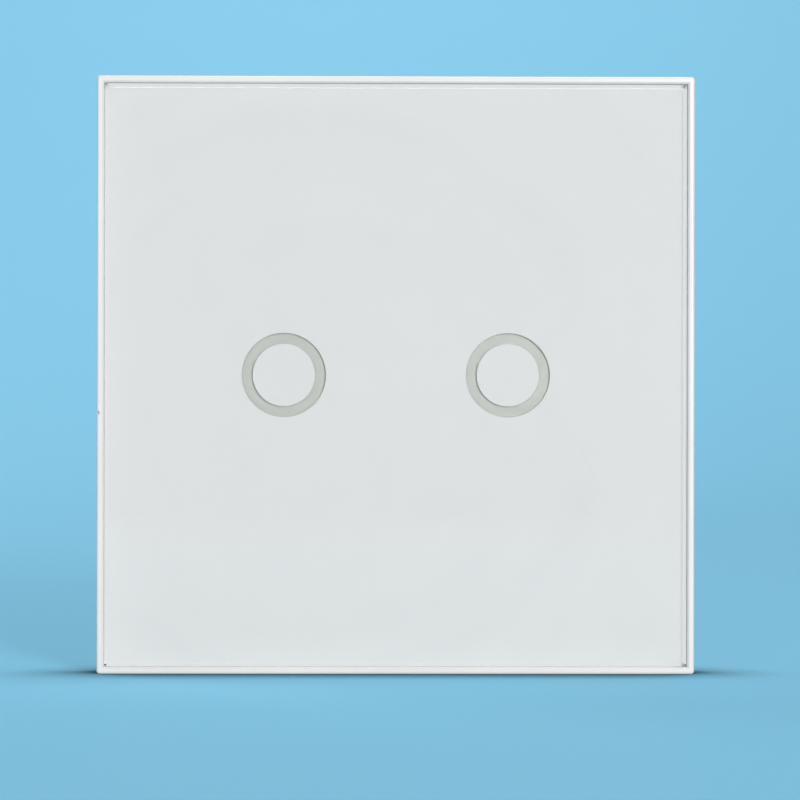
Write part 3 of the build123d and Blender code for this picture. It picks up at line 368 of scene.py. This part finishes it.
def wound(name, colour, pitch_mm):
    """Fine wire wound on a bobbin: even ridges side by side along the bobbin, under a glossy
    varnish, with painted shade darkening the grooves between the turns and a painted highlight
    lightening their crests."""
    material, tree, output = start_material(name)
    place = add(tree, "ShaderNodeTexCoord")
    turns = add(
        tree, "ShaderNodeTexWave",
        wave_type="BANDS",
        bands_direction="Y",
        sockets={
            "Scale": math.tau / (WAVE_PHASE * pitch_mm * MM),
            "Distortion": RIDGE_WANDER,
            "Detail": 0.0,
        },
        links={"Vector": place.outputs["Object"]},
    )
    # Painted shade in the grooves and a painted highlight on the ridges, in the wire's colour
    level = add(
        tree, "ShaderNodeMapRange",
        sockets={"To Min": GROOVE_PAINTED_SHADE, "To Max": RIDGE_PAINTED_HIGHLIGHT},
        links={"Value": turns.outputs["Fac"]},
    )
    shade = add(
        tree, "ShaderNodeHueSaturation",
        sockets={"Color": linear(colour)},
        links={"Value": level.outputs["Result"]},
    )
    relief = add(
        tree, "ShaderNodeBump",
        sockets={"Strength": 1.0, "Distance": RIDGE_RELIEF},
        links={"Height": turns.outputs["Fac"]},
    )
    surface = add(
        tree, "ShaderNodeBsdfPrincipled",
        sockets={"Roughness": VARNISH_ROUGHNESS},
        links={"Base Color": shade.outputs["Color"], "Normal": relief.outputs["Normal"]},
    )
    tree.links.new(surface.outputs["BSDF"], output.inputs["Surface"])
    return material


materials = {
    # ABS from a polished tool: glossy, so the thin rim round the glass catches the lamps
    "white_abs": moulded(
        "polished_abs", "#F0F1F0",
        roughness=0.25, grain_mm=0.12, relief_mm=0.0002,
    ),
    # Float glass, ground and polished: what lies behind it shows, and its bevel shines
    "clear_glass": toughened_glass(),
    # Matt white ink on polyester: what makes the clear glass look white
    "white_film": moulded(
        "screen_printed_film", "#E8E8E8",
        roughness=0.6, grain_mm=0.1, relief_mm=0.001, swing=0.004,
    ),
    # Acrylic foam tape, cast and slit: matt, with the open cells as fine pits
    "foam_tape": moulded(
        "acrylic_foam_tape", "#E6E6E0",
        roughness=0.9, grain_mm=0.3, relief_mm=0.03,
    ),
    # Polycarbonate from a spark-eroded tool: a fine even grain leaves the back of the switch matt
    "base_plastic": moulded(
        "spark_textured_polycarbonate", "#E6E8E5",
        roughness=0.5, grain_mm=0.35, relief_mm=0.02,
    ),
    # Moulded nylon with glass fibres, which lie near the skin: duller and greyer than the base
    "grey_plastic": moulded(
        "glass_filled_nylon", "#9CA0A1",
        roughness=0.6, grain_mm=0.3, relief_mm=0.01,
    ),
    # Moulded nylon, as relay cases are: deep blue, with a satin skin
    "blue_plastic": moulded(
        "moulded_relay_nylon", "#20428F",
        roughness=0.4, grain_mm=0.3, relief_mm=0.006,
    ),
    # Moulded polyester shell of a film capacitor: strong yellow and satin
    "yellow_plastic": moulded(
        "moulded_capacitor_shell", "#DAB630",
        roughness=0.45, grain_mm=0.3, relief_mm=0.006,
    ),
    # Milky moulded polycarbonate: light sinks in a little, so its edges look soft
    "light_guide": moulded(
        "milky_polycarbonate", "#B8B9B3",
        roughness=0.4, grain_mm=0.3, relief_mm=0.002, swing=0.01,
        **{"Subsurface Weight": 0.2, "Subsurface Scale": 0.1 * MM},
    ),
    # Hard-drawn wire, nickel plated: bright, with fine drawing marks
    "spring_steel": plated(
        "nickel_plated_spring_wire", "#C9C7C2",
        roughness=0.25, streak_mm=0.2, stretch=(1, 1, 1),
    ),
    # Steel, turned or stamped and then zinc plated: a cool grey, brighter along the tool's marks
    "zinc_steel": plated(
        "zinc_plated_steel", "#C2C6CA",
        roughness=0.32, streak_mm=0.25, stretch=(1, 4, 1),
    ),
    # Brass strip, tinned after stamping: a warmer and softer grey than zinc
    "tin_plate": plated(
        "tinned_brass", "#CBCAC5",
        roughness=0.35, streak_mm=0.25, stretch=(1, 6, 1),
    ),
    # Stamped soft iron, nickel plated over its rolling marks: a darker, yellower grey
    "soft_iron": plated(
        "nickel_plated_iron", "#9D9B97",
        roughness=0.35, streak_mm=0.25, stretch=(6, 1, 1),
    ),
    # Bare rolled brass, stamped: golden, with the roll's streaks
    "brass": plated(
        "stamped_brass", "#C8A34E",
        roughness=0.3, streak_mm=0.25, stretch=(1, 6, 1),
    ),
    # Epoxy board under white lacquer: the tracks show as faint grey lines
    "white_board": solder_mask("white_solder_mask", "#E0E2DE", swing=-0.06),
    # Epoxy board under green lacquer: the copper brightens the green where a track runs
    "green_board": solder_mask("green_solder_mask", "#195236", swing=0.5),
    # Moulded epoxy full of ground silica: near black, matt, with a fine grit
    "black_resin": moulded(
        "moulded_epoxy", "#191919",
        roughness=0.5, grain_mm=0.2, relief_mm=0.006, swing=0.1,
    ),
    # Clear silicone cast over yellow phosphor: pale yellow and wet-looking
    "led_resin": moulded(
        "silicone_over_phosphor", "#F0E7AA",
        roughness=0.25, grain_mm=0.2, relief_mm=0.001,
    ),
    # Pressed and sintered ferrite: charcoal, slightly rough and uneven
    "ferrite": moulded(
        "sintered_ferrite", "#303033",
        roughness=0.55, grain_mm=0.15, relief_mm=0.01, swing=0.1,
    ),
    # Enamelled copper wire, varnished: amber ridges side by side with painted shade between them,
    # coarser than so fine a wire's
    "winding_tape": wound("varnished_winding", "#C9974A", pitch_mm=0.25),
    # PVC sleeve shrunk on a can: near black and glossy, with slight waves
    "can_sleeve": moulded(
        "shrunk_pvc_sleeve", "#191C24",
        roughness=0.25, grain_mm=0.8, relief_mm=0.01, swing=0.1,
    ),
    # Fired and glazed ceramic: cream white, with a glassy skin
    "ceramic_tube": moulded(
        "glazed_ceramic", "#DFDCD2",
        roughness=0.2, grain_mm=0.6, relief_mm=0.002,
    ),
    # Epoxy put on by dipping: blue, with a soft orange-peel skin
    "blue_coating": moulded(
        "dipped_epoxy", "#2755A6",
        roughness=0.3, grain_mm=0.9, relief_mm=0.02,
    ),
}
for part in frame["record"]["subparts"]:
    for slot in nodes[part["node"]].material_slots:
        slot.material = materials[part["material_slot"]]


# Raised numbers on the rear wall, one over each screwdriver hole
def make_number(number):
    """The terminal's number, moulded on the rear wall over its hole, to be read from behind."""
    letter = bpy.data.curves.new(f"terminal_number_{number}", "FONT")
    letter.body = str(number)
    letter.align_x = "CENTER"
    letter.size = NUMBER_HEIGHT * FONT_SIZE_PER_HEIGHT
    # It is drawn out both ways, so half of its depth is sunk in the wall
    letter.extrude = NUMBER_RELIEF
    letter.resolution_u = NUMBER_CURVE_STEPS
    draft = bpy.data.objects.new(letter.name, letter)
    mesh = bpy.data.meshes.new_from_object(draft)
    mesh.name = letter.name
    bpy.data.objects.remove(draft)
    bpy.data.curves.remove(letter)
    screw_low, screw_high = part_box(f"clamp_screw_{number}")
    _, housing_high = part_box("rear_housing")
    place = Vector((
        (screw_low.x + screw_high.x) / 2,
        housing_high.y,
        (screw_low.z + screw_high.z) / 2 + NUMBER_RISE,
    ))
    # The letter's right turns to -X, its top to +Z and its front to +Y
    facing = Matrix(((-1, 0, 0), (0, 0, 1), (0, 1, 0))).to_4x4()
    mesh.transform(Matrix.Translation(place) @ facing)
    mesh.materials.clear()
    mesh.materials.append(materials["base_plastic"])
    piece = bpy.data.objects.new(mesh.name, mesh)
    scene.collection.objects.link(piece)
    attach(piece, "base")


for number in range(1, TERMINALS + 1):
    make_number(number)


# Camera, at the photograph's viewing angle
glass_low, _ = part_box("glass_panel")
rim_low, rim_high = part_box("panel_frame")
pixels_per_metre = (PLATE_RIGHT - PLATE_LEFT) / (rim_high.x - rim_low.x)
aim = Vector((
    (FRAME_PIXELS - PLATE_LEFT - PLATE_RIGHT) / 2 / pixels_per_metre,
    glass_low.y,
    (PLATE_TOP + PLATE_BOTTOM - FRAME_PIXELS) / 2 / pixels_per_metre,
))
lens = bpy.data.cameras.new("photo_camera")
lens.sensor_width = SENSOR_WIDTH
lens.lens = SENSOR_WIDTH * CAMERA_DISTANCE * pixels_per_metre / FRAME_PIXELS
camera = bpy.data.objects.new("photo_camera", lens)
scene.collection.objects.link(camera)
out_of_plate = Vector((math.sin(CAMERA_AZIMUTH), -math.cos(CAMERA_AZIMUTH), 0))
camera.location = aim + CAMERA_DISTANCE * out_of_plate
camera.rotation_euler = (RIGHT_ANGLE, CAMERA_ROLL, CAMERA_AZIMUTH)
scene.camera = camera


# Stage: a floor that bends up into a backdrop
def pale_card():
    """Pale blue card, printed matt: it has the slightest sheen, and a painted contact shadow darkens
    its colour right where something stands on it. What it throws back on the object is grey, as if
    the blue were kept off the white plastic. Far in front of the object it fades into the sky's
    light, so that the glass mirrors no edge of it."""
    material, tree, output = start_material("pale_blue_card")
    # Painted contact shadow: the card's colour is darkened where little open sky reaches it
    open_sky = add(
        tree, "ShaderNodeAmbientOcclusion",
        samples=CONTACT_SAMPLES,
        sockets={"Distance": CONTACT_REACH},
    )
    level = add(
        tree, "ShaderNodeMapRange",
        sockets={
            "From Min": CONTACT_HIDDEN,
            "From Max": CONTACT_OPEN,
            "To Min": CONTACT_DARKEST,
            "To Max": 1.0,
        },
        links={"Value": open_sky.outputs["AO"]},
    )
    shade = add(
        tree, "ShaderNodeHueSaturation",
        sockets={"Color": linear(CARD_COLOUR)},
        links={"Value": level.outputs["Result"]},
    )
    seen = add(tree, "ShaderNodeBsdfDiffuse", links={"Color": shade.outputs["Color"]})
    thrown_back = add(
        tree, "ShaderNodeBsdfDiffuse",
        sockets={"Color": linear(CARD_THROWN_BACK)},
    )
    path = add(tree, "ShaderNodeLightPath")
    card = add(
        tree, "ShaderNodeMixShader",
        links={
            0: path.outputs["Is Diffuse Ray"],
            1: seen.outputs["BSDF"],
            2: thrown_back.outputs["BSDF"],
        },
    )
    sheen = add(
        tree, "ShaderNodeBsdfGlossy",
        sockets={"Color": linear("#FFFFFF"), "Roughness": CARD_SHEEN_ROUGHNESS},
    )
    printed = add(
        tree, "ShaderNodeMixShader",
        sockets={0: CARD_SHEEN},
        links={1: card.outputs["Shader"], 2: sheen.outputs["BSDF"]},
    )
    place = add(tree, "ShaderNodeTexCoord")
    ways = add(tree, "ShaderNodeSeparateXYZ", links={"Vector": place.outputs["Object"]})
    fade = add(
        tree, "ShaderNodeMapRange",
        sockets={"From Min": FLOOR_FADE, "From Max": FLOOR_FRONT},
        links={"Value": ways.outputs["Y"]},
    )
    sky_light = add(
        tree, "ShaderNodeEmission",
        sockets={"Color": linear(SKY_COLOUR), "Strength": SKY_STRENGTH},
    )
    faded = add(
        tree, "ShaderNodeMixShader",
        links={
            0: fade.outputs["Result"],
            1: printed.outputs["Shader"],
            2: sky_light.outputs["Emission"],
        },
    )
    tree.links.new(faded.outputs["Shader"], output.inputs["Surface"])
    return material


def make_stage():
    """One sheet, drawn as its side view and then drawn out to its width."""
    floor = rim_low.z
    profile = [(FLOOR_FRONT, floor)]
    for step in range(BEND_STEPS + 1):
        angle = RIGHT_ANGLE * step / BEND_STEPS
        along = BACKDROP_FOOT + BEND_RADIUS * math.sin(angle)
        profile.append((along, floor + BEND_RADIUS * (1 - math.cos(angle))))
    profile.append((BACKDROP_FOOT + BEND_RADIUS, BACKDROP_TOP))
    shape = bmesh.new()
    points = [shape.verts.new((-STAGE_HALF_WIDTH, along, up)) for along, up in profile]
    edges = [shape.edges.new(pair) for pair in zip(points, points[1:])]
    drawn = bmesh.ops.extrude_edge_only(shape, edges=edges)
    far_side = [item for item in drawn["geom"] if isinstance(item, bmesh.types.BMVert)]
    bmesh.ops.translate(shape, verts=far_side, vec=(2 * STAGE_HALF_WIDTH, 0, 0))
    bmesh.ops.recalc_face_normals(shape, faces=shape.faces)
    mesh = bpy.data.meshes.new("studio_stage")
    shape.to_mesh(mesh)
    shape.free()
    mesh.shade_smooth()
    mesh.materials.append(pale_card())
    stage = bpy.data.objects.new("studio_stage", mesh)
    scene.collection.objects.link(stage)


make_stage()


# Lamps: soft boxes, with places and sizes in metres
def soft_box(name, place, target, size, watts, colour):
    """A square lamp at a place, turned to its target."""
    light = bpy.data.lights.new(name, "AREA")
    light.size = size
    light.energy = watts
    light.color = linear(colour)[:3]
    lamp = bpy.data.objects.new(name, light)
    scene.collection.objects.link(lamp)
    lamp.location = place
    lamp.rotation_euler = (Vector(target) - Vector(place)).to_track_quat("-Z", "Y").to_euler()


# The main lamp stands in front, to the right and a little above
soft_box(
    "key_lamp", place=(0.33, -1.4, 0.34), target=SWITCH,
    size=0.22, watts=6.8, colour="#FFFEFC",
)
# Two more light the face evenly, from lower at the right and from the left
soft_box(
    "low_lamp", place=(0.42, -1.4, 0.04), target=SWITCH,
    size=0.15, watts=4.5, colour="#FFFFFF",
)
soft_box(
    "fill_lamp", place=(-0.4, -1.5, 0.1), target=SWITCH,
    size=0.3, watts=3.2, colour="#F9FCFF",
)
# One overhead brightens the rim's top
soft_box(
    "top_lamp", place=(0.1, 0.12, 1.0), target=SWITCH,
    size=0.4, watts=3.6, colour="#FFFFFF",
)
# One lights the backdrop alone, and one the back of the switch
soft_box(
    "backdrop_lamp", place=(0.0, 1.0, 0.8), target=BACKDROP,
    size=0.4, watts=2.2, colour="#FFFFFF",
)
soft_box(
    "rear_lamp", place=(-0.7, 0.8, 0.6), target=SWITCH,
    size=0.5, watts=2.5, colour="#FFFFFF",
)

world = bpy.data.worlds.new("studio_world")
scene.world = world
world.use_nodes = True
world.node_tree.nodes.clear()
sky = add(
    world.node_tree, "ShaderNodeBackground",
    sockets={"Color": linear(SKY_COLOUR), "Strength": SKY_STRENGTH},
)
add(world.node_tree, "ShaderNodeOutputWorld", links={"Surface": sky.outputs["Background"]})
